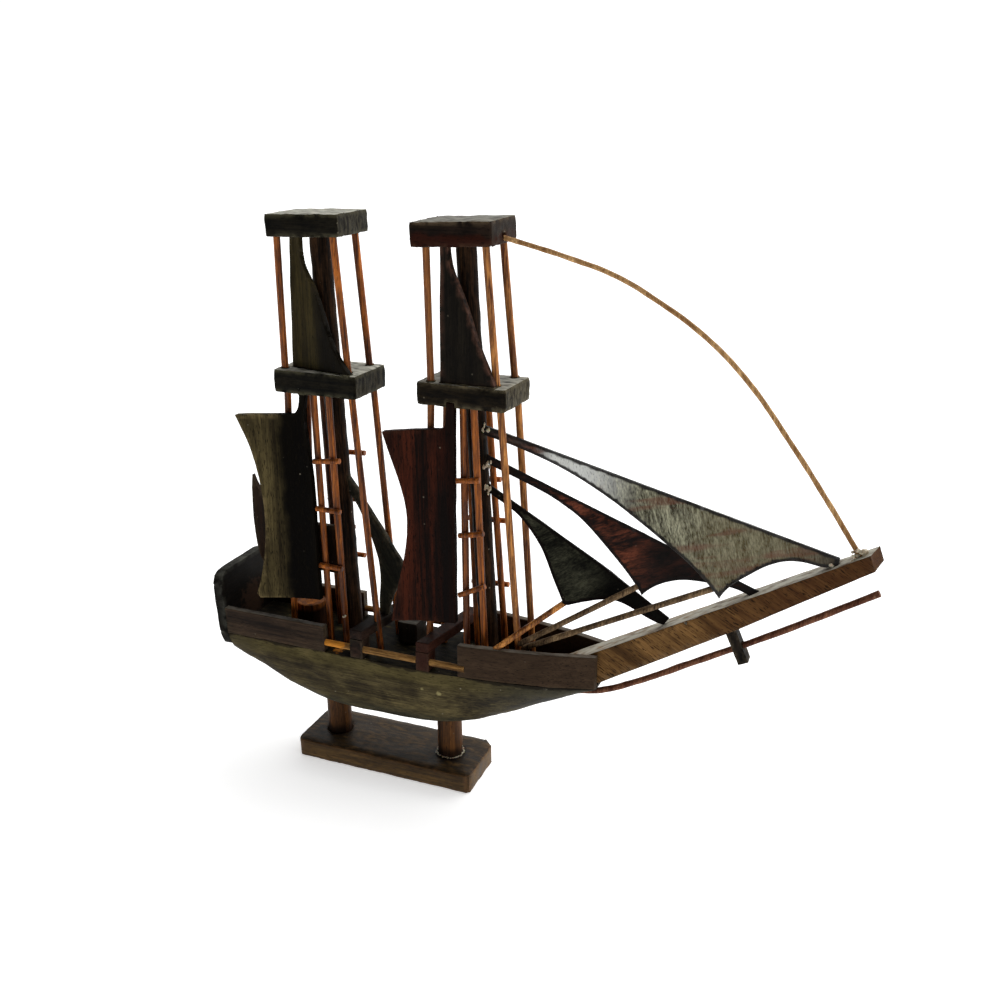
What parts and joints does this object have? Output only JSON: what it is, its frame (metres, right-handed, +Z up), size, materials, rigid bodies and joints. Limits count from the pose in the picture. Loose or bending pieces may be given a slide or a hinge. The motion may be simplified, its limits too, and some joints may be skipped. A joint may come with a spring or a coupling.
{
  "type": "model sailing ship",
  "caption": "Wooden desk model of a two-masted sailing ship with carved wooden sails and bamboo rigging, on a dowelled stand.",
  "frame": {"origin": "centre of the underside of the stand's base, on the surface it rests on", "axes": "+X towards the bow, along the base and the keel; +Y to port; +Z up"},
  "size_m": [0.1947, 0.0282, 0.1705],
  "materials": {
    "base_wood": "stained hardwood, satin with worn edges",
    "post_wood": "stained dowel, satin",
    "hull_wood": "carved dark hardwood, thin worn varnish",
    "plank_wood": "dark reddish hardwood, matt",
    "transom_wood": "near-black stained hardwood, satin edges",
    "frame_wood": "dark brown hardwood, matt",
    "rail_wood": "pale bamboo, plain",
    "drum_wood": "light orange dowel, plain",
    "mast_wood": "dark brown dowel, satin",
    "block_wood": "near-black hardwood, dusty top",
    "bamboo": "orange tan split bamboo, satin",
    "bamboo_grey": "weathered grey-brown bamboo, matt",
    "rosewood": "dark red-brown streaked hardwood, satin",
    "olive_wood": "olive brown hardwood, satin",
    "dark_sail_wood": "dark grey-green hardwood, satin",
    "silver_sail_wood": "silvery grey-green hardwood, glossy wax",
    "sprit_wood": "tan-brown hardwood with dark pores, satin",
    "glue": "pale dried glue beads"
  },
  "bodies": {
    "root": {"aft_course": "olive_wood", "aft_lower_backstays": "bamboo", "aft_lower_forestays": "bamboo", "aft_mast": "mast_wood", "aft_mid_block": "block_wood", "aft_port_ladder_rungs": "bamboo", "aft_port_ladder_sides": "bamboo", "aft_starboard_ladder_rungs": "bamboo", "aft_starboard_ladder_sides": "bamboo", "aft_top_block": "block_wood", "aft_topsail": "olive_wood", "aft_upper_stays": "bamboo", "bow_lower_stick": "bamboo_grey", "bowsprit": "sprit_wood", "bulwark_aft_port": "plank_wood", "bulwark_aft_starboard": "plank_wood", "bulwark_fore_port": "plank_wood", "bulwark_fore_starboard": "plank_wood", "crossbar_aft": "frame_wood", "crossbar_fore": "frame_wood", "deck_drum": "drum_wood", "deck_hatch": "frame_wood", "dolphin_striker": "transom_wood", "fore_course": "rosewood", "fore_lower_backstays": "bamboo", "fore_lower_forestays": "bamboo", "fore_mast": "mast_wood", "fore_mid_block": "block_wood", "fore_port_ladder_rungs": "bamboo", "fore_port_ladder_sides": "bamboo", "fore_starboard_ladder_rungs": "bamboo", "fore_starboard_ladder_sides": "bamboo", "fore_top_block": "block_wood", "fore_topsail": "dark_sail_wood", "fore_upper_stays": "bamboo", "forestay": "rail_wood", "hull": "hull_wood", "jib_inner": "dark_sail_wood", "jib_middle": "rosewood", "jib_outer": "silver_sail_wood", "sheet_inner": "bamboo", "sheet_middle": "bamboo_grey", "sheet_outer": "bamboo_grey", "spanker": "rosewood", "stand_base": "base_wood", "stand_post_aft": "post_wood", "stand_post_fore": "post_wood", "staysail": "dark_sail_wood", "transom": "transom_wood", "waist_post_aft_port": "frame_wood", "waist_post_aft_starboard": "frame_wood", "waist_post_fore_port": "frame_wood", "waist_post_fore_starboard": "frame_wood", "waist_rail_port": "rail_wood", "waist_rail_starboard": "rail_wood"}
  },
  "joints": []
}
